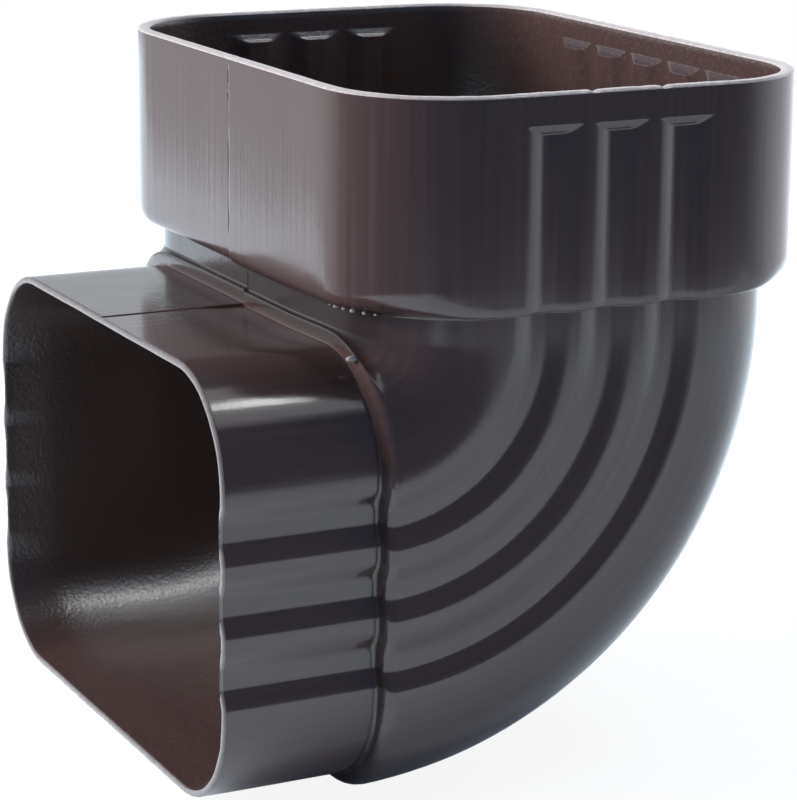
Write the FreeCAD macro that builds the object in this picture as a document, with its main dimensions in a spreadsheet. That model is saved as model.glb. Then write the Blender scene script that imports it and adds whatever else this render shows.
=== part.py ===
import FreeCAD, Part
import math
import os
import Sketcher

# Downspout elbow, blow-moulded in one piece, in millimetres.
# The frame: the socket's mouth faces +Z with its centre at the origin, and the outlet faces -X.
# The mould parts in the XZ plane, so the elbow is the same on both sides of it.

# Driving dimensions: alias, value, what it measures
SIZES = [
    ("wall", 1.65, "wall thickness between the flutes"),
    ("socket_width", 88.0, "socket outside, along Y"),
    ("socket_depth", 62.6, "socket outside, along X"),
    ("socket_corner", 16.0, "socket corner radius"),
    ("socket_height", 26.2, "rim to the underside of the shoulder"),
    ("shoulder_height", 3.4, "height of the round under the socket"),
    ("rim_band", 3.85, "plain band above the flutes"),
    ("shoulder_side", 2.4, "how far the shoulder comes in at each side"),
    ("shoulder_front", 2.6, "how far the shoulder comes in at front and back"),
    ("neck_length", 3.3, "straight neck between shoulder and bend"),
    ("bend_corner", 16.0, "bend corner radius"),
    ("throat_radius", 0.4, "outside radius of the throat"),
    ("step_turn", 4.0, "degrees at the bend's end over which it rounds in to the spigot"),
    ("step_side", 2.6, "how far the step comes in at each side"),
    ("step_front", 1.8, "how far the step comes in at top and bottom"),
    ("spigot_corner", 13.5, "spigot corner radius"),
    ("spigot_length", 19.7, "straight spigot past the step"),
    ("side_pitch", 8.85, "flutes of a side face, centre to centre"),
    ("back_pitch", 9.43, "flutes of the back face, centre to centre"),
    ("flute_depth", 0.85, "depth of a flute"),
    ("flute_slope", 2.3, "width of a flute's sloping side"),
    ("flute_end", 0.7, "height of a flute's sloping top end"),
    ("land", 1.75, "flat left between two flutes"),
]
BEND_ANGLE = 90.0
OUTSIDE_FLATS = 3        # flats in a lofted quarter round outside
BORE_FLATS = 1           # and inside, where the blown wall only bridges the step
BORE_STEP = 0.4          # share of the step's turn in which the bore is through with it
BORE_OVERRUN = 5.0       # how far the bore runs out past both mouths

doc = FreeCAD.newDocument("downspout_elbow")
sheet = doc.addObject("Spreadsheet::Sheet", "Sizes")
for row, (alias, value, meaning) in enumerate(SIZES, start=1):
    sheet.set(f"A{row}", meaning)
    sheet.set(f"B{row}", str(value))
    sheet.setAlias(f"B{row}", alias)
doc.recompute()


def size(alias):
    return float(sheet.get(alias))


flute_depth = size("flute_depth")
flute_slope = size("flute_slope")
land = size("land")


def stepped_in(outline, side, front, corner):
    # the next, smaller outline along the duct
    return (outline[0] - 2 * size(side), outline[1] - 2 * size(front), size(corner))


# Outlines of the three stretches: width across the bend plane, depth in it, corner radius
socket = (size("socket_width"), size("socket_depth"), size("socket_corner"))
bend = stepped_in(socket, "shoulder_side", "shoulder_front", "bend_corner")
spigot = stepped_in(bend, "step_side", "step_front", "spigot_corner")

# The bend turns about this line, parallel to Y, just in front of the throat
axis_to_centre = bend[1] / 2 + size("throat_radius")
BEND_AXIS_X = "-(Sizes.socket_depth / 2 - Sizes.shoulder_front + Sizes.throat_radius)"
BEND_AXIS_Z = "-(Sizes.socket_height + Sizes.neck_length)"


def blend(first, second, share):
    return tuple(a + (b - a) * share for a, b in zip(first, second))


def flute_row(pitch, face, inset, share):
    # one face's flutes as (place along the face, depth below it), from - to +
    # as many as the narrowest flat of the three stretches has room for, at a share of their depth
    flat = min(outline[face] - 2 * outline[2] for outline in (socket, bend, spigot))
    count = int((flat + land) / pitch)
    slope_angle = math.atan2(flute_depth, flute_slope)
    spread = inset * math.tan(slope_angle / 2)
    top = (pitch - land) / 2 + spread
    bottom = top - flute_slope
    row = []
    for number in range(count):
        centre = (number - (count - 1) / 2) * pitch
        row += [(centre - top, 0.0), (centre - bottom, flute_depth * share)]
        row += [(centre + bottom, flute_depth * share), (centre + top, 0.0)]
    return row


def outline_edges(outline, inset, sides, back):
    # closed outline in (u, v): u from the smooth front to the back, v across
    # sides and back are shares of the flutes' depth there, None for a plain face
    half_v = outline[0] / 2 - inset
    half_u = outline[1] / 2 - inset
    corner = outline[2] - inset
    side_row = [] if sides is None else flute_row(size("side_pitch"), 1, inset, sides)
    back_row = [] if back is None else flute_row(size("back_pitch"), 0, inset, back)
    flat_u = half_u - corner
    flat_v = half_v - corner
    faces = [
        [(-flat_u, -half_v)] + [(s, d - half_v) for s, d in side_row] + [(flat_u, -half_v)],
        [(half_u, -flat_v)] + [(half_u - d, s) for s, d in back_row] + [(half_u, flat_v)],
        [(flat_u, half_v)] + [(-s, half_v - d) for s, d in side_row] + [(-flat_u, half_v)],
        [(-half_u, flat_v), (-half_u, -flat_v)],
    ]
    centres = [(flat_u, -flat_v), (flat_u, flat_v), (-flat_u, flat_v), (-flat_u, -flat_v)]
    edges = []
    for number, (face, centre) in enumerate(zip(faces, centres)):
        edges += [("line", p, q) for p, q in zip(face, face[1:])]
        start = math.radians(90.0 * number - 90.0)
        edges.append(("arc", centre, corner, start))
    return edges


def draw(body, name, plane, place, outline, inset, sides=1.0, back=None, turn=0.0, shift=0.0, tilt=None):
    # a sketch of the outline; place binds its offset and tilt its angle about the sketch's own upright
    # axis, turn maps (u, v) to the sketch's own axes
    sketch = body.newObject("Sketcher::SketchObject", name)
    support = [f for f in body.Origin.OriginFeatures if f.Role == plane][0]
    sketch.AttachmentSupport = [(support, "")]
    sketch.MapMode = "FlatFace"
    for axis, text in place.items():
        sketch.setExpression(f"AttachmentOffset.Base.{axis}", text)
    if tilt:
        upright = FreeCAD.Rotation(FreeCAD.Vector(0, 1, 0), 1.0)
        sketch.AttachmentOffset = FreeCAD.Placement(FreeCAD.Vector(), upright)
        sketch.setExpression("AttachmentOffset.Rotation.Angle", tilt)
    quarter = math.radians(turn)

    def spot(point):
        u, v = point[0] + shift, point[1]
        x = u * math.cos(quarter) - v * math.sin(quarter)
        y = u * math.sin(quarter) + v * math.cos(quarter)
        return FreeCAD.Vector(x, y, 0)

    geometry = []
    for kind, first, second, *rest in outline_edges(outline, inset, sides, back):
        if kind == "line":
            geometry.append(Part.LineSegment(spot(first), spot(second)))
        else:
            start = rest[0] + quarter
            circle = Part.Circle(spot(first), FreeCAD.Vector(0, 0, 1), second)
            geometry.append(Part.ArcOfCircle(circle, start, start + math.pi / 2))
    sketch.addGeometry(geometry, False)
    sketch.addConstraint([Sketcher.Constraint("Block", i) for i in range(len(geometry))])
    return sketch


def draw_level(body, name, z, outline, inset, sides=1.0, back=None):
    return draw(body, name, "XY_Plane", {"z": z}, outline, inset, sides, back)


def draw_upright(body, name, x, outline, inset, sides):
    # the back of the elbow turns to face down here
    place = {"y": f"{BEND_AXIS_Z} + {BEND_AXIS_X}", "z": x}
    return draw(body, name, "YZ_Plane", place, outline, inset, sides, turn=-90.0)


def pad(body, name, sketch, length):
    feature = body.newObject("PartDesign::Pad", name)
    feature.Profile = sketch
    feature.setExpression("Length", length)
    feature.Reversed = True
    return feature


def loft(body, name, sketches):
    feature = body.newObject("PartDesign::AdditiveLoft", name)
    feature.Profile = sketches[0]
    feature.Sections = sketches[1:]
    feature.Ruled = True
    return feature


def quarter_round(flats):
    # (share along, share across) of a convex quarter round, from start to end
    angles = [math.radians(90.0 * i / flats) for i in range(flats + 1)]
    return [(math.sin(a), 1 - math.cos(a)) for a in angles]


def duct(name, inset_cell, overrun, flats, step_share, sides):
    # the whole duct as one solid, its surface inset by that cell from the outside
    # sides is the share of the side flutes' depth past the shoulder, None where they run out on it
    body = doc.addObject("PartDesign::Body", name)
    inset = size(inset_cell) if inset_cell else 0.0
    depth = f"Sizes.{inset_cell}" if inset_cell else "0"
    band = f"(Sizes.rim_band - {depth} * tan(atan(Sizes.flute_depth / Sizes.flute_end) / 2))"
    round_top = "(Sizes.socket_height - Sizes.shoulder_height)"

    # socket: plain band at the rim, sloping flute ends under it, fluted walls
    rim = draw_level(body, name + "_rim", f"{overrun}", socket, inset, sides=None)
    pad(body, name + "_band", rim, f"{overrun} + {band}")
    end_top = draw_level(body, name + "_end_top", f"-{band}", socket, inset, sides=None)
    end_low = draw_level(body, name + "_end_low", f"-{band} - Sizes.flute_end", socket,
                         inset + flute_depth, sides=None)
    loft(body, name + "_flute_ends", [end_top, end_low])
    walls = draw_level(body, name + "_socket_outline", f"-{band}", socket, inset, back=1.0)
    pad(body, name + "_socket", walls, f"{round_top} - {band}")

    # shoulder: rounds in from the socket to the neck, and flutes that go no further run out on it
    ring = []
    for number, (along, across) in enumerate(quarter_round(flats)):
        z = f"-{round_top} - {along} * (Sizes.shoulder_height - {depth})"
        ring.append(draw_level(body, f"{name}_shoulder_{number}", z, blend(socket, bend, across), inset,
                               sides or 1.0 - across, 1.0 - across))
    loft(body, name + "_shoulder", ring)

    # neck and bend
    neck = draw_level(body, name + "_neck_outline", f"{depth} - Sizes.socket_height", bend, inset, sides)
    pad(body, name + "_neck", neck, f"Sizes.neck_length + {depth}")
    place = {"x": BEND_AXIS_X, "z": BEND_AXIS_Z}
    start = draw(body, name + "_bend_outline", "XY_Plane", place, bend, inset, sides, shift=axis_to_centre)
    turn = body.newObject("PartDesign::Revolution", name + "_bend")
    turn.Profile = start
    turn.ReferenceAxis = (start, ["V_Axis"])
    turn.setExpression("Angle", f"{BEND_ANGLE} - Sizes.step_turn")

    # step: over the bend's last degrees the duct rounds in to the spigot
    ring = []
    shares = [(along * step_share, across) for along, across in quarter_round(flats)]
    for number, (along, across) in enumerate(shares + [(1.0, 1.0)] * (step_share < 1.0)):
        tilt = f"{BEND_ANGLE} - {1.0 - along} * Sizes.step_turn"
        ring.append(draw(body, f"{name}_step_{number}", "XY_Plane", place, blend(bend, spigot, across), inset,
                         sides, shift=axis_to_centre, tilt=tilt))
    loft(body, name + "_step", ring)

    # spigot
    foot = draw_upright(body, name + "_spigot_outline", BEND_AXIS_X, spigot, inset, sides)
    pad(body, name + "_spigot", foot, f"Sizes.spigot_length + {overrun}")
    doc.recompute()
    return body


outside = duct("outside", None, 0.0, OUTSIDE_FLATS, 1.0, 1.0)
bore = duct("bore", "wall", BORE_OVERRUN, BORE_FLATS, BORE_STEP, None)
elbow = doc.addObject("Part::Cut", "elbow")
elbow.Label = "downspout_elbow"
elbow.Base = outside
elbow.Tool = bore
doc.recompute()

for item in doc.Objects:
    if "Invalid" in item.State or "Error" in item.State:
        raise RuntimeError(f"{item.Name} failed: {item.State}")
if elbow.Shape.isNull() or not elbow.Shape.isValid() or len(elbow.Shape.Solids) != 1:
    raise RuntimeError("the elbow is not one valid solid")

os.makedirs("parts", exist_ok=True)
elbow.Shape.exportStep(f"parts/{elbow.Label}.step")
print(elbow.Label, "volume", round(elbow.Shape.Volume), "faces", len(elbow.Shape.Faces), elbow.Shape.BoundBox)
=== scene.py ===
import bpy
import bmesh
import math
from mathutils import Matrix, Vector, noise


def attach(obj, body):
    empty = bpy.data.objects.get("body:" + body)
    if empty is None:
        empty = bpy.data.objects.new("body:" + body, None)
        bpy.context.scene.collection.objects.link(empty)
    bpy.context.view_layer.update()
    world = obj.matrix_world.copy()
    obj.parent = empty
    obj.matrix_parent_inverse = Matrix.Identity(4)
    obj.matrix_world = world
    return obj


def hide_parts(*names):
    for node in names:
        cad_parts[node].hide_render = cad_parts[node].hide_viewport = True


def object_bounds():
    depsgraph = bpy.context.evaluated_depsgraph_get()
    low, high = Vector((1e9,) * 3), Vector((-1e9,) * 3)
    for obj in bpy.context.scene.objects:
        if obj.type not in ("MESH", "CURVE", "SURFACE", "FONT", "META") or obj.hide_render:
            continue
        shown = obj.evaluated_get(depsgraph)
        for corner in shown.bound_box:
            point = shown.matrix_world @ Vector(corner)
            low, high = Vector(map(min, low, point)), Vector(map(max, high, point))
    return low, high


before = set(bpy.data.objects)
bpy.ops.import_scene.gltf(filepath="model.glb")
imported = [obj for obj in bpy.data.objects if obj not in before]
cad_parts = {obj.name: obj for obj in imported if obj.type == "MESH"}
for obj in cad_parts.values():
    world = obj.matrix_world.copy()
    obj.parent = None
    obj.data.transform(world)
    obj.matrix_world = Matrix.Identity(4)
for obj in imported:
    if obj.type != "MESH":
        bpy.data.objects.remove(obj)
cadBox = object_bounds()
mm = 0.001


def linearColour(hexText):
    parts = [int(hexText[i:i + 2], 16) / 255 for i in (1, 3, 5)]
    return [p / 12.92 if p <= 0.04045 else ((p + 0.055) / 1.055) ** 2.4 for p in parts] + [1.0]


def addNode(tree, kind, inputs=None, **settings):
    node = tree.nodes.new(kind)
    for name, value in settings.items():
        setattr(node, name, value)
    for name, value in (inputs or {}).items():
        if isinstance(value, bpy.types.NodeSocket):
            tree.links.new(value, node.inputs[name])
        else:
            node.inputs[name].default_value = value
    return node


def mapRange(tree, value, fromSpan, toSpan=(0.0, 1.0), kind="LINEAR"):
    inputs = {"Value": value, "From Min": fromSpan[0], "From Max": fromSpan[1],
              "To Min": toSpan[0], "To Max": toSpan[1]}
    return addNode(tree, "ShaderNodeMapRange", inputs, interpolation_type=kind).outputs["Result"]


def mathNode(tree, operation, *values):
    return addNode(tree, "ShaderNodeMath", dict(enumerate(values)), operation=operation).outputs["Value"]


def vectorNode(tree, operation, *values):
    return addNode(tree, "ShaderNodeVectorMath", dict(enumerate(values)), operation=operation)


def mixColours(tree, factor, first, second):
    inputs = {"Factor": factor, "A": first, "B": second}
    return addNode(tree, "ShaderNodeMix", inputs, data_type="RGBA").outputs["Result"]


def smooth(low, high, value):
    share = min(1.0, max(0.0, (value - low) / (high - low)))
    return share * share * (3 - 2 * share)


def blend(first, second, share):
    return tuple(a + (b - a) * share for a, b in zip(first, second))


def spread(first, last, count):
    return [first + (last - first) * i / count for i in range(count + 1)]


# Elbow shell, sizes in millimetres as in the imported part
elbow = {
    "wall": 1.65,
    "socket": (88.0, 62.6, 16.0),      # width, depth, corner radius
    "bend": (83.2, 57.4, 16.0),
    "spigot": (78.0, 53.8, 13.5),
    "socketHeight": 26.2,
    "rimBand": 3.85,
    "neckLength": 3.3,
    "throatRadius": 0.4,
    "spigotLength": 19.7,
    "rimRound": 0.35,
    "creaseRound": 0.4,
    "roundMiddle": 0.3,                # where the middle ring of a small round lies
    # shoulder: how square its quarter round is on each face, and half way round the corners
    "shoulderHeight": 3.4,
    "shoulderPowers": (9.0, 9.0, 9.0, 4.6),
    "cornerPower": 2.2,
    "borePower": 2,                    # the bore's is a plain quarter round
    # step between the bend and the spigot
    "lipBack": 1.9,                    # how far behind the throat the bend starts to step in
    "lipReach": 9,                     # reach from the bend's axis at which it does so in full
    "lipPower": 2.3,
    "lipRound": 0.86,                  # share of the step that its quarter round takes
    "lipCrease": 0.91,
    "footStart": 0.2,                  # the foot lies past the axis at the throat, and behind it lower down
    "footRise": 0.6,
    "footSpan": (3, 14),
    "footLean": 0.02,
    "leanStart": 15,
    "boreStep": 0.7,                   # share of the bend after which the bore narrows to the spigot
    # flutes
    "sidePitch": 8.85,
    "backPitch": 9.43,
    "sideFlutes": 3,
    "backFlutes": 5,
    "fluteDepth": 0.85,
    "fluteSlope": 2.3,
    "flutePower": 1.25,                # above 1 the flutes start gently and meet their floors sharply
    "fluteEnd": 0.75,
    "endDepth": 0.5,                   # share of their depth the flutes have behind their sloping ends
    "endRun": 0.35,                    # and how soon below they drop to the rest
    "runOutPower": 3,                  # how the back's flutes run out on the shoulder
    "land": 1.75,
    "softEdge": 0.25,                  # rounding of the flutes' edges on the straight stretches
    "softBend": 0.6,                   # and round the bend, where the wall is stretched
    "softSteps": 3,
    # marks of the mould
    "lineDepth": 0.1,                  # groove where the mould halves meet
    "lineWidth": 0.26,
    "lineDash": (-0.1, 0.2),           # on the socket it comes and goes with a noise in this span
    "dashScale": 0.8,
    "dashSeed": 3.7,
    "lineShare": 0.8,                  # and elsewhere it has this share of its depth
    "halfShift": 0.3,                  # the near mould half sat this much lower at the throat
    "shiftEdge": -0.05,
    "shiftSocket": (19, 25),           # where that comes in on the socket's front
    "shiftSpigot": (12, 18),           # and on top of the spigot, which keeps a little of it up to the mouth
    "shiftLeast": 0.25,
    "shiftAcross": (12, 26),           # and where it fades across
    "beakStart": 16,                   # drag marks beside the lip, one to a flute
    "beakGap": 0.1,
    "beakLength": 2.2,
    "beakDepth": 0.2,
    "beakPlace": -1.8,
    "beakWidth": 0.6,
    "beakTaper": 0.35,
    # trim and wander
    "trimDepth": 0.05,
    "trimNoise": ((0.05, 0.9), (0.04, 3.1)),   # depth and scale
    "rimNicks": (-3.5, 6.0),           # places of the trimmer's nicks along the near rim
    "nickDepth": 0.25,
    "nickWidth": 0.45,
    "sway": 0.05,                      # how far the blown wall wanders
    "swayScale": 0.06,
    # rings along the duct, by the run that they belong to
    "bandRings": (0.47, 1.2, 2.2, 3.2),
    "endRings": (-0.15, 0, 0.1, 0.3, 0.5, 0.68, 0.76, 0.86, 1.0, 1.1, 1.2),
    "wallRings": (2, 4, 6, 9, 12, 15, 17, 18.4, 18.8),
    "shoulderSteps": 14,
    "neckRings": (0.55, 1.2, 2.2),
    "bendSteps": 44,
    "bendEnd": [0.986, 0.995],
    "stepSteps": 12,
    "spigotRings": (19.55, 19.3, 19.0, 18.6, 18.1, 17.6, 17.0, 15, 13, 11, 9, 7, 5, 3, 1.5, 0.5),
    "mouthEdge": ((0.55, 0.6), (0.75, 0.4)),   # in from the outside, and the share of the flutes there
    # the wall thickens from the mouth inwards: distance in, wall, share of the flutes
    "mouthWall": ((0.3, 0.85, 0.3), (0.7, 0.9, 0.25), (2, 1.07, 0.15), (4, 1.33, 0.05), (5.5, 1.52, 0)),
    "boreRings": (7, 10, 13, 16, 18.5),
    "boreStepRings": (1.0, 0.5),
    "boreBendSteps": 36,
    "boreNeckRings": (3.0, 1.0, 0.0),
    "boreShoulderSteps": 6,
    "boreWallRings": (3, 6, 9, 12, 15, 18),
    "boreBandRings": (2.0, 1.2),
    "girthRing": 20,                   # the ring on which the duct's map is measured
    # vertices round each ring: on the near side, the back, the far side and the front
    "sideSteps": 80,
    "backSteps": 96,
    "frontPlaces": (0.9, 1.6),
    "restSteps": (2, 3, 2, 10),
    "cornerSteps": 15,
    "edgeSpare": 0.25,
    "weldGap": 0.001,
}
axisToCentre = elbow["bend"][1] / 2 + elbow["throatRadius"]
axisX = -axisToCentre
axisZ = -(elbow["socketHeight"] + elbow["neckLength"])
mouthX = axisX - elbow["spigotLength"]
lowest = cadBox[0][2] / mm


def flutedHalf(kind):
    pitch, count = elbow[kind + "Pitch"], elbow[kind + "Flutes"]
    return (count - 1) / 2 * pitch + (pitch - elbow["land"]) / 2 + elbow["edgeSpare"]


def ringPlan():
    # where each vertex of a ring sits: ("corner", number, share) or (face, place in mm, share of the rest);
    # the faces are 0 near side, 1 back, 2 far side, 3 front
    e = elbow
    sideEdge, backEdge, line = flutedHalf("side"), flutedHalf("back"), e["lineWidth"]
    frontHalf = [line / 2, line, 1.5 * line, *e["frontPlaces"]]
    front = [-s for s in reversed(frontHalf)] + [0.0] + frontHalf
    sideRow = spread(-sideEdge, sideEdge, e["sideSteps"])
    backRow = sorted(spread(-backEdge, backEdge, e["backSteps"]) + [-line, -line / 2, line / 2, line])
    plan = []
    for face, (row, rest) in enumerate(zip((sideRow, backRow, sideRow, front), e["restSteps"])):
        plan += [(face, row[0], -1 + i / rest) for i in range(rest)]
        plan += [(face, s, 0.0) for s in row]
        plan += [(face, row[-1], (i + 1) / rest) for i in range(rest)]
        plan += [("corner", face, i / e["cornerSteps"]) for i in range(1, e["cornerSteps"])]
    return plan


def fluteDepth(place, face, inset, soft, cap):
    # depth of the trapezium flutes at a place along a face, with their edges rounded and a cap on the depth
    if face == 3 or cap <= 0:
        return 0.0
    kind = "back" if face == 1 else "side"
    pitch, count = elbow[kind + "Pitch"], elbow[kind + "Flutes"]
    slope, steps = elbow["fluteSlope"], elbow["softSteps"]
    top = (pitch - elbow["land"]) / 2 + inset * math.tan(math.atan2(elbow["fluteDepth"], slope) / 2)
    number = round(place / pitch + (count - 1) / 2)
    centre = (min(count - 1, max(0, number)) - (count - 1) / 2) * pitch
    total = 0.0
    for step in range(-steps, steps + 1):
        reach = abs(place + step / steps * soft - centre)
        share = min(1.0, max(0.0, (top - reach) / slope))
        total += min(cap, share ** elbow["flutePower"])
    return total / (2 * steps + 1) * elbow["fluteDepth"]


def fluteStart(below):
    # share of the flutes' depth by the distance below their upper ends
    share = min(1.0, max(0.0, below / elbow["fluteEnd"]))
    rest = min(1.0, max(0.0, (below - elbow["fluteEnd"]) / elbow["endRun"]))
    return share * elbow["endDepth"] + rest * (1 - elbow["endDepth"])


def outlinePoint(spot, outline, inset, soft, caps):
    # (u, v) on the outline: u from the smooth front to the back, v across, with the outward direction
    halfV, halfU, corner = outline[0] / 2 - inset, outline[1] / 2 - inset, outline[2] - inset
    flatU, flatV = halfU - corner, halfV - corner
    flats = (flatU, flatV, flatU, flatV)
    if spot[0] == "corner":
        number, share = spot[1], spot[2]
        angle = math.radians(90 * number - 90 + 90 * share)
        centre = [(flatU, -flatV), (flatU, flatV), (-flatU, flatV), (-flatU, -flatV)][number]
        following = (number + 1) % 4
        arc = corner * math.pi / 2
        depth = fluteDepth(flats[number] + arc * share, number, inset, soft, caps[number])
        depth += fluteDepth(-flats[following] - arc * (1 - share), following, inset, soft, caps[following])
        way = (math.cos(angle), math.sin(angle))
        return centre[0] + (corner - depth) * way[0], centre[1] + (corner - depth) * way[1], way
    face, place, rest = spot
    along = place + (math.copysign(flats[face], rest) - place) * abs(rest) if rest else place
    depth = fluteDepth(along, face, inset, soft, caps[face])
    if face == 0:
        return along, depth - halfV, (0.0, -1.0)
    if face == 1:
        return halfU - depth, along, (1.0, 0.0)
    if face == 2:
        return -along, halfV - depth, (0.0, 1.0)
    return -halfU, -along, (-1.0, 0.0)


def quarterShares(turn, power):
    # (along, across) at a share of a convex quarter round; a higher power squares it off
    angle = math.radians(90 * turn)
    return math.sin(angle) ** (2 / power), 1 - math.cos(angle) ** (2 / power)


def wider(outline, extra):
    return (outline[0] + 2 * extra, outline[1] + 2 * extra, outline[2] + extra)


def stationList():
    # every ring from the socket's rim down the outside, over the mouth's rim and back up the bore
    # the run says what along measures: "down" in mm from the rim, "round" and "step" as shares of the bend
    # and of the step, "out" in mm back from the mouth
    e = elbow
    socket, bend, spigot, wall = e["socket"], e["bend"], e["spigot"], e["wall"]
    soft, rim, crease, middle = e["softEdge"], e["rimRound"], e["creaseRound"], e["roundMiddle"]
    shoulderTop = e["socketHeight"] - e["shoulderHeight"]
    rings = []

    def ring(zone, run, along, outline, inset, sides=1.0, back=0.0, softness=soft, quarter=None):
        rings.append({"zone": zone, "run": run, "along": along, "outline": outline, "inset": inset,
                      "caps": (sides, back, sides, 0.0), "soft": softness, "quarter": quarter})

    def bendSoft(share):
        return soft + (e["softBend"] - soft) * math.sin(math.pi * share)

    # rim and plain band
    ring("rim", "down", 0, socket, wall / 2, 0)
    ring("rim", "down", 0, socket, rim, 0)
    ring("rim", "down", middle * rim, socket, middle * rim, 0)
    for along in (rim, *e["bandRings"]):
        ring("outside", "down", along, socket, 0, 0)
    # sloping flute ends, then the fluted wall
    for below in e["endRings"] + e["wallRings"]:
        ramp = fluteStart(below)
        ring("outside", "down", e["rimBand"] + below, socket, 0, ramp, ramp)
    # shoulder and its crease against the neck; the back's flutes run out on it
    for turn in spread(0, 1, e["shoulderSteps"]):
        left = 1 - quarterShares(turn, e["runOutPower"])[1]
        ring("outside", "down", shoulderTop, socket, 0, 1.0, left,
             quarter=(turn, wider(bend, crease), e["shoulderHeight"]))
    for along, extra in ((middle, middle), (1.0, 0.0)):
        ring("outside", "down", e["socketHeight"] + along * crease, wider(bend, extra * crease), 0)
    for along in e["neckRings"]:
        ring("outside", "down", e["socketHeight"] + along, bend, 0)
    # bend
    for share in sorted(spread(0, 1, e["bendSteps"]) + e["bendEnd"]):
        ring("outside", "round", share, bend, 0, softness=bendSoft(share))
    # step and its crease against the spigot
    for turn in spread(0, 1, e["stepSteps"])[1:]:
        along, across = quarterShares(turn, e["lipPower"])
        ring("outside", "step", e["lipRound"] * along, blend(bend, wider(spigot, crease), across), 0)
    for along, extra in ((e["lipCrease"], middle), (1.0, 0.0)):
        ring("outside", "step", along, wider(spigot, extra * crease), 0)
    # spigot and the mouth's rim
    for back in (*e["spigotRings"], rim):
        ring("outside", "out", back, spigot, 0)
    ring("rim", "out", middle * rim, spigot, middle * rim)
    ring("rim", "out", 0, spigot, rim)
    for inset, sides in e["mouthEdge"]:
        ring("rim", "out", 0, spigot, inset, sides)
    # bore, plain up to the shoulder, then as the socket's outside
    for back, inset, sides in e["mouthWall"]:
        ring("bore", "out", back, spigot, inset, sides)
    for back in e["boreRings"]:
        ring("bore", "out", back, spigot, wall, 0)
    for along in e["boreStepRings"]:
        ring("bore", "step", along, spigot, wall, 0)
    for share in reversed(spread(0, 1, e["boreBendSteps"])):
        ring("bore", "round", share, blend(bend, spigot, smooth(e["boreStep"], 1, share)), wall, 0)
    for along in e["boreNeckRings"]:
        ring("bore", "down", e["socketHeight"] - wall + along, bend, wall, 0)
    for turn in reversed(spread(0, 1, e["boreShoulderSteps"])[:-1]):
        left = 1 - quarterShares(turn, e["borePower"])[1]
        ring("bore", "down", shoulderTop, socket, wall, left, left,
             quarter=(turn, bend, e["shoulderHeight"] - wall))
    band = e["rimBand"] - wall * math.tan(math.atan2(e["fluteDepth"], e["fluteEnd"]) / 2)
    for below in reversed(e["endRings"] + e["boreWallRings"]):
        ramp = fluteStart(below)
        ring("bore", "down", band + below, socket, wall, ramp, ramp)
    for along in (*e["boreBandRings"], rim):
        ring("bore", "down", along, socket, wall, 0)
    ring("rim", "down", middle * rim, socket, wall - middle * rim, 0)
    ring("rim", "down", 0, socket, wall - rim, 0)
    ring("rim", "down", 0, socket, wall / 2, 0)
    return rings


def lipSpan(reach):
    # the step's start behind the throat and the x of its foot, by the distance from the bend's axis:
    # at the throat both close up against the neck
    e = elbow
    back = e["lipBack"] * smooth(e["throatRadius"], e["lipReach"], reach)
    foot = axisX - e["footStart"] + e["footRise"] * smooth(*e["footSpan"], reach)
    foot -= e["footLean"] * max(0.0, reach - e["leanStart"])
    return back, foot


def mouldMarks(spot, station, u, v):
    # inward marks in mm: the groove between the mould halves, and drag marks beside the lip
    e = elbow
    run, along = station["run"], station["along"]
    mark = 0.0
    if spot[0] in (1, 3) and abs(v) < e["lineWidth"]:
        dash = e["lineShare"]
        if run == "down":
            dash = smooth(*e["lineDash"], noise.noise((0, e["dashSeed"], along * e["dashScale"])))
        mark += dash * e["lineDepth"] * (1 - (v / e["lineWidth"]) ** 2)
    if spot[0] in (0, 2) and run == "out" and along > e["beakStart"]:
        share = min(1.0, (e["spigotLength"] - e["beakGap"] - along) / e["beakLength"])
        number = max(-1, min(1, round(u / e["sidePitch"])))
        place = u - number * e["sidePitch"] - e["beakPlace"]
        width = e["beakWidth"] - e["beakTaper"] * share
        mark += e["beakDepth"] * (1 - share) * math.exp(-(place / width) ** 2)
    return mark


def shoulderPower(spot):
    # tight along the flats, less so in front, and full at the corners
    powers = elbow["shoulderPowers"]
    if spot[0] != "corner":
        return powers[spot[0]]
    first, second = powers[spot[1]], powers[(spot[1] + 1) % 4]
    power = first + (second - first) * spot[2]
    return power + (elbow["cornerPower"] - power) * math.sin(math.pi * spot[2])


def trimOff(spot, run, spotAt, u):
    # how far the trimmed rims are cut back: uneven, with nicks in the near one
    trim = elbow["trimDepth"]
    for depth, scale in elbow["trimNoise"]:
        trim += depth * noise.noise(spotAt * scale)
    if run == "down" and spot[0] == 0:
        for nick in elbow["rimNicks"]:
            trim += elbow["nickDepth"] * math.exp(-((u - nick) / elbow["nickWidth"]) ** 2)
    return max(0.0, trim)


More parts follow.
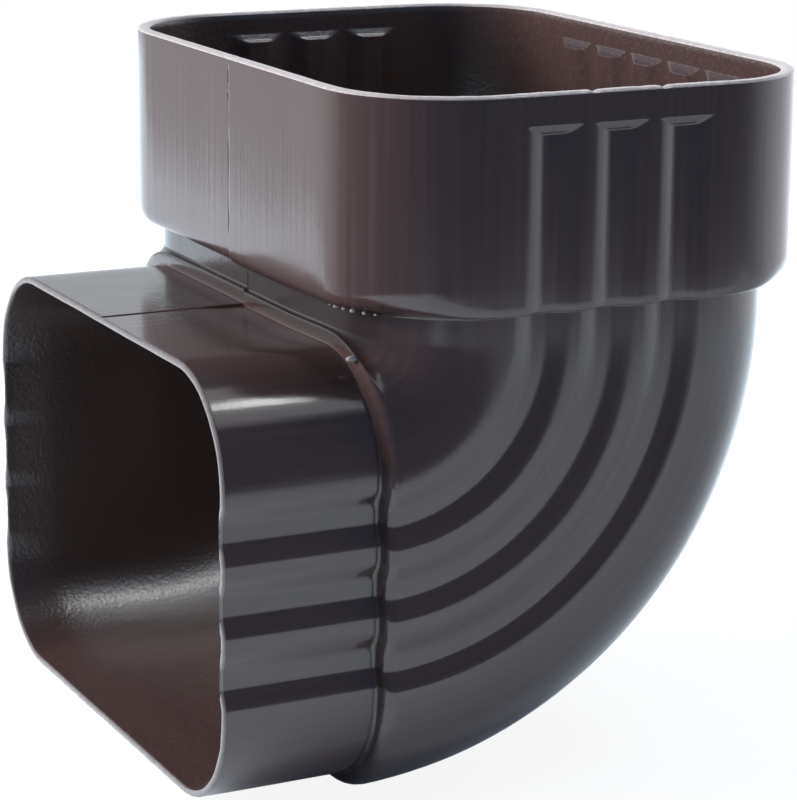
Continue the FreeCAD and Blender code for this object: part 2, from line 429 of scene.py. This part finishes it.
def placeVertex(spot, station):
    zone, run, along, outline = station["zone"], station["run"], station["along"], station["outline"]
    if station["quarter"]:
        turn, inner, height = station["quarter"]
        lower, across = quarterShares(turn, shoulderPower(spot))
        along += lower * height
        outline = blend(outline, inner, across)
    u, v, way = outlinePoint(spot, outline, station["inset"], station["soft"], station["caps"])
    reach = u + axisToCentre
    back, foot = lipSpan(reach)
    if run == "down":
        spotAt = Vector((u, v, -along))
        outward = Vector((way[0], way[1], 0))
    elif run == "round":
        angle = along * (math.pi / 2 - math.asin(min(1.0, back / reach)))
        spotAt = Vector((axisX + reach * math.cos(angle), v, axisZ - reach * math.sin(angle)))
        outward = Vector((way[0] * math.cos(angle), way[1], -way[0] * math.sin(angle)))
    else:
        left = back * (1 - along) if run == "step" else 0.0
        start = axisX + back if run == "step" else foot
        end = foot if run == "step" else mouthX
        share = along if run == "step" else 1 - along / elbow["spigotLength"]
        drop = math.sqrt(max(0.0, reach ** 2 - left ** 2))
        spotAt = Vector((start + (end - start) * share, v, axisZ - drop))
        outward = Vector((0, way[1], -way[0]))
    # the blown wall wanders a little, always inwards
    wander = -elbow["sway"] * (1 + noise.noise(spotAt * elbow["swayScale"]))
    if zone == "outside":
        wander -= mouldMarks(spot, station, u, v)
    spotAt += outward * wander
    # the mould halves were not quite level at the throat
    if zone == "outside" and spot[0] == 3 and v < elbow["shiftEdge"]:
        fade = smooth(*elbow["shiftSocket"], along) if run == "down" else 1.0
        if run == "out":
            least = elbow["shiftLeast"]
            fade = least + (1 - least) * smooth(*elbow["shiftSpigot"], along)
        spotAt.z -= elbow["halfShift"] * fade * (1 - smooth(*elbow["shiftAcross"], -v))
    if zone == "rim":
        trim = trimOff(spot, run, spotAt, u)
        spotAt += Vector((0, 0, -trim)) if run == "down" else Vector((trim, 0, 0))
    spotAt.z = max(spotAt.z, lowest)
    return spotAt * mm


def buildElbow():
    plan = ringPlan()
    stations = stationList()
    radius = elbow["socket"][0] / 2 * mm
    bpy.ops.object.select_all(action="DESELECT")
    bpy.ops.mesh.primitive_circle_add(vertices=len(plan), radius=radius, fill_type="NOTHING")
    piece = bpy.context.object
    piece.name = "elbowShell"
    bpy.ops.object.mode_set(mode="EDIT")
    bpy.ops.mesh.select_mode(type="VERT")
    mesh = bmesh.from_edit_mesh(piece.data)
    placeLayer = mesh.verts.layers.int.new("place")
    ringLayer = mesh.verts.layers.int.new("ring")
    for number, vertex in enumerate(mesh.verts):
        vertex[placeLayer] = number
    for number, station in enumerate(stations):
        if number:
            bpy.ops.mesh.extrude_region_move()
            mesh = bmesh.from_edit_mesh(piece.data)
            placeLayer = mesh.verts.layers.int["place"]
            ringLayer = mesh.verts.layers.int["ring"]
        for vertex in mesh.verts:
            if vertex.select:
                vertex[ringLayer] = number
                vertex.co = placeVertex(plan[vertex[placeLayer]], station)
    finishElbow(piece, plan, stations)
    return piece


def runningLengths(points):
    lengths = [0.0]
    for first, second in zip(points, points[1:]):
        lengths.append(lengths[-1] + (second - first).length)
    return lengths


def finishElbow(piece, plan, stations):
    # materials, the map that follows the duct, and the seam at the socket's rim
    mesh = bmesh.from_edit_mesh(piece.data)
    placeLayer = mesh.verts.layers.int["place"]
    ringLayer = mesh.verts.layers.int["ring"]
    ductMap = mesh.loops.layers.uv.new("duct")
    last = len(plan) - 1
    alongAt = runningLengths([placeVertex(plan[0], station) for station in stations])
    girth = [placeVertex(spot, stations[elbow["girthRing"]]) for spot in plan]
    aroundAt = runningLengths(girth + girth[:1])
    zoneNumber = {"outside": 0, "bore": 1, "rim": 2}
    for face in mesh.faces:
        rings = sorted({v[ringLayer] for v in face.verts})
        places = [v[placeLayer] for v in face.verts]
        zones = [stations[r]["zone"] for r in rings]
        face.material_index = zoneNumber["rim" if "rim" in zones else zones[0]]
        face.smooth = True
        wraps = 0 in places and last in places
        for loop in face.loops:
            place = loop.vert[placeLayer]
            place = last + 1 if wraps and place == 0 else place
            loop[ductMap].uv = (aroundAt[place], alongAt[loop.vert[ringLayer]])
    bmesh.update_edit_mesh(piece.data)
    bpy.ops.mesh.select_all(action="SELECT")
    bpy.ops.mesh.remove_doubles(threshold=elbow["weldGap"] * mm)
    bpy.ops.mesh.normals_make_consistent(inside=False)
    bpy.ops.object.mode_set(mode="OBJECT")


shell = buildElbow()
print("elbow shell", len(shell.data.vertices), "vertices", len(shell.data.polygons), "faces")


# Nub of plastic across the lip's near upper corner, and beads of flash under the socket's front corner
marks = {
    "nubAngle": 27.0,                  # from the top of the lip towards the near side
    "nubX": -29.5,
    "nubSink": 0.3,
    "nubRadius": 0.36,
    "nubStretch": 2.2,
    "beadAngles": (182, 187, 193, 199, 206, 212),
    "beadSizes": (0.14, 0.21, 0.16, 0.23, 0.18, 0.13),
    "beadSink": 0.9,
    "beadStretch": 1.4,
    "beadHeight": -26.05,
    "ballSegments": 20,
    "ballRings": 12,
}


def addBall(place, radius, stretch):
    bpy.ops.object.select_all(action="DESELECT")
    segments, rings = marks["ballSegments"], marks["ballRings"]
    bpy.ops.mesh.primitive_uv_sphere_add(segments=segments, ring_count=rings, radius=radius * mm)
    ball = bpy.context.object
    ball.scale = (stretch, 1, 1)
    ball.location = Vector(place) * mm
    bpy.ops.object.transform_apply(location=True, rotation=True, scale=True)
    bpy.ops.object.shade_smooth()
    return ball


def buildNub():
    width, depth, corner = elbow["bend"]
    turn = math.radians(marks["nubAngle"])
    radius = corner - marks["nubSink"]
    y = -(width / 2 - corner + radius * math.sin(turn))
    z = axisZ - (axisToCentre - depth / 2 + corner) + radius * math.cos(turn)
    nub = addBall((marks["nubX"], y, z), marks["nubRadius"], marks["nubStretch"])
    nub.name = "lipNub"
    return nub


def buildBeads():
    width, depth, corner = elbow["socket"]
    row = corner - marks["beadSink"]
    beads = []
    for angle, radius in zip(marks["beadAngles"], marks["beadSizes"]):
        turn = math.radians(angle)
        x = -(depth / 2 - corner) + row * math.cos(turn)
        y = -(width / 2 - corner) + row * math.sin(turn)
        beads.append(addBall((x, y, marks["beadHeight"]), radius, marks["beadStretch"]))
    bpy.ops.object.select_all(action="DESELECT")
    for bead in beads:
        bead.select_set(True)
    bpy.context.view_layer.objects.active = beads[0]
    bpy.ops.object.join()
    beads[0].name = "flashBeads"
    return beads[0]


nub = buildNub()
beads = buildBeads()
print("nub and flash beads")


# Rigid PVC in three finishes: pairs of tones from deep to pale, lengths in millimetres
vinyl = {
    "ior": 1.53,
    "mouldedTones": ("#302422", "#372928"),
    # painted shade in the throat's crease under the socket's shoulder
    "throatPaintedShade": "#1f1817",
    "blownTones": ("#302321", "#3b2d2a"),
    # painted shade: the mouth's edge darker than the socket's rim, which faces the light overhead
    "mouthShadedTones": ("#3f3a39", "#5f5958"),
    "socketTones": ("#6c6463", "#9e9796"),
    "drawSize": (1.0, 60),             # draw lines: across and along the duct
    "drawSpan": (0.3, 0.7),
    "drawBump": (0.25, 0.06),          # strength and height
    "cloudSize": 9,
    "mouldedRough": (0.1, 0.2),
    "grainSize": 0.55,
    "grainStrength": (0.1, 0.4),       # in general and at the throat
    "grainHeight": 0.05,
    "throatFront": (-24, -28),         # where the throat's grain comes in, by x
    "throatZ": -28.5,                  # its middle line
    "throatHalf": (3.5, 2),            # and how far from that it comes in
    "throatRough": 0.06,
    "blownRough": 0.3,
    "blownSpecular": 0.85,
    "pebbleSize": 0.55,
    "pebbleSpan": (0.5, 0.75),
    "pebbleBump": (0.5, 0.1),
    "trimmedRough": 0.28,
    "chatterSize": 0.8,
    "chatterBump": (0.4, 0.1),
    "mouthEnd": (-47, -42),            # where the mouth's tones give way to the socket's, by x
}


def newVinyl(name):
    material = bpy.data.materials.new(name)
    material.use_nodes = True
    tree = material.node_tree
    shader = tree.nodes["Principled BSDF"]
    shader.inputs["IOR"].default_value = vinyl["ior"]
    place = addNode(tree, "ShaderNodeTexCoord").outputs["Object"]
    return material, tree, shader, place


def tones(name):
    return [linearColour(tone) for tone in vinyl[name]]


def span(name):
    return [length * mm for length in vinyl[name]]


def addNoise(tree, vector, scale, detail):
    inputs = {"Vector": vector, "Scale": scale, "Detail": detail}
    return addNode(tree, "ShaderNodeTexNoise", inputs).outputs["Fac"]


def addBump(tree, height, strength, distance, **normal):
    inputs = {"Height": height, "Strength": strength, "Distance": distance * mm, **normal}
    return addNode(tree, "ShaderNodeBump", inputs).outputs["Normal"]


# Blow-moulded in a polished mould: dark brown, an even gloss, faint draw lines along the duct
# and a sand-blasted grain where the mould was reworked at the throat, where the colour is also darkened as
# painted shade
def mouldedVinyl():
    material, tree, shader, place = newVinyl("rigidPvcMoulded")
    duct = addNode(tree, "ShaderNodeUVMap", uv_map="duct").outputs["UV"]
    across, along = span("drawSize")
    lines = addNode(tree, "ShaderNodeMapping", {"Vector": duct, "Scale": (1 / across, 1 / along, 1)})
    drawLines = addNoise(tree, lines.outputs["Vector"], 1.0, 2.0)
    streak = mapRange(tree, drawLines, vinyl["drawSpan"])
    tone = mixColours(tree, streak, *tones("mouldedTones"))
    cloud = addNoise(tree, place, 1 / (vinyl["cloudSize"] * mm), 3.0)
    gloss = mapRange(tree, cloud, (0.0, 1.0), vinyl["mouldedRough"])
    # the throat's grain and painted shade: close to the neck's front, by distance from its middle line
    spot = addNode(tree, "ShaderNodeSeparateXYZ", {0: place})
    front = mapRange(tree, spot.outputs["X"], span("throatFront"))
    height = mathNode(tree, "ADD", spot.outputs["Z"], -vinyl["throatZ"] * mm)
    near = mapRange(tree, mathNode(tree, "ABSOLUTE", height), span("throatHalf"))
    throat = mathNode(tree, "MULTIPLY", front, near)
    rough = mathNode(tree, "MULTIPLY_ADD", throat, vinyl["throatRough"], gloss)
    tree.links.new(rough, shader.inputs["Roughness"])
    # painted shade: towards the throat the colour darkens to the throat's shade tone
    dark = mixColours(tree, throat, tone, linearColour(vinyl["throatPaintedShade"]))
    tree.links.new(dark, shader.inputs["Base Color"])
    grain = addNoise(tree, place, 1 / (vinyl["grainSize"] * mm), 2.0)
    coarse = mapRange(tree, throat, (0.0, 1.0), vinyl["grainStrength"])
    fine = addBump(tree, grain, coarse, vinyl["grainHeight"])
    bump = addBump(tree, drawLines, *vinyl["drawBump"], Normal=fine)
    tree.links.new(bump, shader.inputs["Normal"])
    return material


# The same PVC inside, where air and no mould touched it: duller, with a pebbled skin that sparkles a little
def blownVinyl():
    material, tree, shader, place = newVinyl("rigidPvcBlownInside")
    shader.inputs["Roughness"].default_value = vinyl["blownRough"]
    shader.inputs["Specular IOR Level"].default_value = vinyl["blownSpecular"]
    pebble = addNoise(tree, place, 1 / (vinyl["pebbleSize"] * mm), 2.0)
    speck = mapRange(tree, pebble, vinyl["pebbleSpan"])
    tree.links.new(mixColours(tree, speck, *tones("blownTones")), shader.inputs["Base Color"])
    tree.links.new(addBump(tree, pebble, *vinyl["pebbleBump"]), shader.inputs["Normal"])
    return material


# Trimmed edge and flash of the PVC: torn and whitened, so it reads as a pale line;
# the mouth's edge is given darker tones than the socket's as painted shade
def trimmedVinyl():
    material, tree, shader, place = newVinyl("rigidPvcTrimmed")
    shader.inputs["Roughness"].default_value = vinyl["trimmedRough"]
    chatter = addNoise(tree, place, 1 / (vinyl["chatterSize"] * mm), 3.0)
    spot = addNode(tree, "ShaderNodeSeparateXYZ", {0: place})
    behind = mapRange(tree, spot.outputs["X"], span("mouthEnd"))
    mouth, socket = (mixColours(tree, chatter, *tones(name)) for name in ("mouthShadedTones", "socketTones"))
    # painted shade: the mouth's darker tones give way to the socket's paler ones by x
    tree.links.new(mixColours(tree, behind, mouth, socket), shader.inputs["Base Color"])
    tree.links.new(addBump(tree, chatter, *vinyl["chatterBump"]), shader.inputs["Normal"])
    return material


moulded, blown, trimmed = mouldedVinyl(), blownVinyl(), trimmedVinyl()
for material in (moulded, blown, trimmed):
    shell.data.materials.append(material)
nub.data.materials.append(trimmed)
beads.data.materials.append(trimmed)
for piece in (shell, nub, beads):
    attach(piece, "root")
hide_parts("downspout_elbow")
print("finishes", [m.name for m in shell.data.materials])


# White sheet under the elbow on a grey board: the near side mirrors the sheet only low down, then a strip
# of the board, and the front mirrors the sheet's left edge half way up; places in metres
table = {
    "sheet": {
        "left": -0.187,
        "right": 0.26,
        "front": -0.248,
        "back": 0.7,
        "top": -87.4 * mm,
        "paper": "#e6f2fa",
        "whiteness": 0.9,              # the camera sees nearly plain white, and a little of the shadow
    },
    "board": {
        "left": -0.1,
        "right": 0.26,
        "front": -0.33,
        "back": 0.3,
        "top": -89.4 * mm,
        "paper": "#8c8e9e",
        "whiteness": 1.0,
    },
    "glossWhite": 0.2,                 # how much of that white the gloss mirrors
    "shadeEnd": (-0.01, 0.03),         # from where to where past the elbow's box it comes in
}


def pastElbow(tree):
    # how far a place on a sheet lies past the elbow's box
    low, high = Vector(cadBox[0]), Vector(cadBox[1])
    place = addNode(tree, "ShaderNodeTexCoord").outputs["Object"]
    offset = vectorNode(tree, "SUBTRACT", place, (low + high) / 2)
    away = vectorNode(tree, "ABSOLUTE", offset.outputs["Vector"])
    past = vectorNode(tree, "SUBTRACT", away.outputs["Vector"], (high - low) / 2)
    axes = addNode(tree, "ShaderNodeSeparateXYZ", {0: past.outputs["Vector"]})
    return mathNode(tree, "MAXIMUM", axes.outputs["X"], axes.outputs["Y"])


def addSheet(name, size):
    bpy.ops.object.select_all(action="DESELECT")
    bpy.ops.mesh.primitive_plane_add(size=1.0)
    sheet = bpy.context.object
    sheet.name = name
    sheet.scale = (size["right"] - size["left"], size["back"] - size["front"], 1)
    sheet.location = ((size["right"] + size["left"]) / 2, (size["back"] + size["front"]) / 2, size["top"])
    bpy.ops.object.transform_apply(location=True, rotation=True, scale=True)
    material = bpy.data.materials.new(name + "Paper")
    material.use_nodes = True
    tree = material.node_tree
    tree.nodes.remove(tree.nodes["Principled BSDF"])
    path = addNode(tree, "ShaderNodeLightPath")
    paper = addNode(tree, "ShaderNodeBsdfDiffuse", {"Color": linearColour(size["paper"])})
    glow = addNode(tree, "ShaderNodeEmission", {"Strength": 1.0})
    # painted contact shadow on the sheet: the gloss mirrors less of the white under the elbow and close to
    # its foot
    lit = mapRange(tree, pastElbow(tree), table["shadeEnd"], (0.0, table["glossWhite"]))
    mirror = mathNode(tree, "MULTIPLY", path.outputs["Is Glossy Ray"], lit)
    share = mathNode(tree, "MULTIPLY_ADD", path.outputs["Is Camera Ray"], size["whiteness"], mirror)
    both = addNode(tree, "ShaderNodeMixShader",
                   {"Fac": share, 1: paper.outputs["BSDF"], 2: glow.outputs["Emission"]})
    tree.links.new(both.outputs["Shader"], tree.nodes["Material Output"].inputs["Surface"])
    sheet.data.materials.append(material)


addSheet("sheet", table["sheet"])
addSheet("board", table["board"])


# Room: white behind and brightest to the right, up to a low height; dim overhead and towards the front
room = {
    "dimSides": (((-0.72, -0.69, 0.0), -0.05, 0.35), ((-0.34, -0.94, 0.0), -0.3, 0.6)),
    "whiteTop": 0.2,
    "dimTop": 0.36,
    "rightSpan": (0.2, 0.8),
    "rightRise": 0.35,                 # how much higher the white reaches on the right
    "whiteLeft": (0.84, 0.92, 0.98, 1),
    "whiteRight": (1.5, 1.55, 1.67, 1),
    "dim": (0.09, 0.165, 0.27, 1),
    "seen": (1, 1, 1, 1),              # what the camera sees past the sheet
}


def buildRoom():
    world = bpy.data.worlds.new("studio")
    bpy.context.scene.world = world
    world.use_nodes = True
    tree = world.node_tree
    path = addNode(tree, "ShaderNodeLightPath")
    place = addNode(tree, "ShaderNodeTexCoord").outputs["Generated"]
    way = addNode(tree, "ShaderNodeSeparateXYZ", {0: place})
    right = mapRange(tree, way.outputs["X"], room["rightSpan"], kind="SMOOTHSTEP")
    height = mathNode(tree, "MULTIPLY_ADD", right, -room["rightRise"], way.outputs["Z"])
    wall = mapRange(tree, height, (room["whiteTop"], room["dimTop"]), (1.0, 0.0), "SMOOTHSTEP")
    for side, low, high in room["dimSides"]:
        towards = vectorNode(tree, "DOT_PRODUCT", place, Vector(side).normalized())
        fade = mapRange(tree, towards.outputs["Value"], (low, high), (1.0, 0.0), "SMOOTHSTEP")
        wall = mathNode(tree, "MULTIPLY", wall, fade)
    white = mixColours(tree, right, room["whiteLeft"], room["whiteRight"])
    light = mixColours(tree, wall, room["dim"], white)
    seen = mixColours(tree, path.outputs["Is Camera Ray"], light, room["seen"])
    tree.links.new(seen, tree.nodes["Background"].inputs["Color"])


buildRoom()

# Key low from behind on the left, so that the near side stays dark; a small bright box and a wide soft one
# overhead, which give the highlights, and a fill for the sheet
lamps = {
    "keyLeft": {
        "place": (-1.63, 0.94, 0.63),
        "aim": (0, 0, -0.05),
        "size": (1.6, 1.2),
        "power": 165.0,
        "mirrored": False,
    },
    "boxOverhead": {
        "place": (0.28, -0.16, 0.61),
        "aim": (-0.03, -0.02, -0.04),
        "size": (0.11, 0.11),
        "power": 0.65,
        "mirrored": True,
    },
    "softOverhead": {
        "place": (0.3, -0.2, 0.95),
        "aim": (0, 0, -0.05),
        "size": (0.7, 0.7),
        "power": 2.6,
        "mirrored": True,
    },
    "fillOverhead": {
        "place": (0.35, 0.05, 1.2),
        "aim": (0.1, -0.1, -0.09),
        "size": (0.8, 0.8),
        "power": 8.0,
        "mirrored": False,
    },
}


def buildLamps():
    for name, lamp in lamps.items():
        light = bpy.data.lights.new(name, "AREA")
        light.shape = "RECTANGLE"
        light.size, light.size_y = lamp["size"]
        light.energy = lamp["power"]
        holder = bpy.data.objects.new(name, light)
        bpy.context.collection.objects.link(holder)
        towards = Vector(lamp["aim"]) - Vector(lamp["place"])
        holder.location = lamp["place"]
        holder.rotation_euler = towards.to_track_quat("-Z", "Y").to_euler()
        holder.visible_camera = False
        holder.visible_glossy = lamp["mirrored"]


buildLamps()
print("stage and light")

# Camera at the photograph's place; the frame is 797 x 800
camera = {
    "place": (-172.53 * mm, -332.99 * mm, 47.67 * mm),
    "azimuth": -26.411,
    "elevation": 13.076,
    "roll": 0.459,
    "focalPixels": 2901.5,
    "frameWidth": 797,
    "shiftPixels": (0.0, -60.0),
    "sensorWidth": 36,
    "clipStart": 0.01,
}


def buildCamera():
    lens = bpy.data.cameras.new("studioCamera")
    lens.sensor_fit = "HORIZONTAL"
    lens.sensor_width = camera["sensorWidth"]
    lens.lens = camera["focalPixels"] / camera["frameWidth"] * lens.sensor_width
    lens.shift_x, lens.shift_y = (s / camera["frameWidth"] for s in camera["shiftPixels"])
    lens.clip_start = camera["clipStart"]
    holder = bpy.data.objects.new("studioCamera", lens)
    bpy.context.collection.objects.link(holder)
    turn = Matrix.Rotation(math.radians(camera["azimuth"]), 3, "Z")
    tilt = Matrix.Rotation(math.radians(90 - camera["elevation"]), 3, "X")
    roll = Matrix.Rotation(math.radians(camera["roll"]), 3, "Z")
    holder.rotation_euler = (turn @ tilt @ roll).to_euler()
    holder.location = camera["place"]
    bpy.context.scene.camera = holder


buildCamera()
bpy.context.scene.view_settings.view_transform = "Standard"
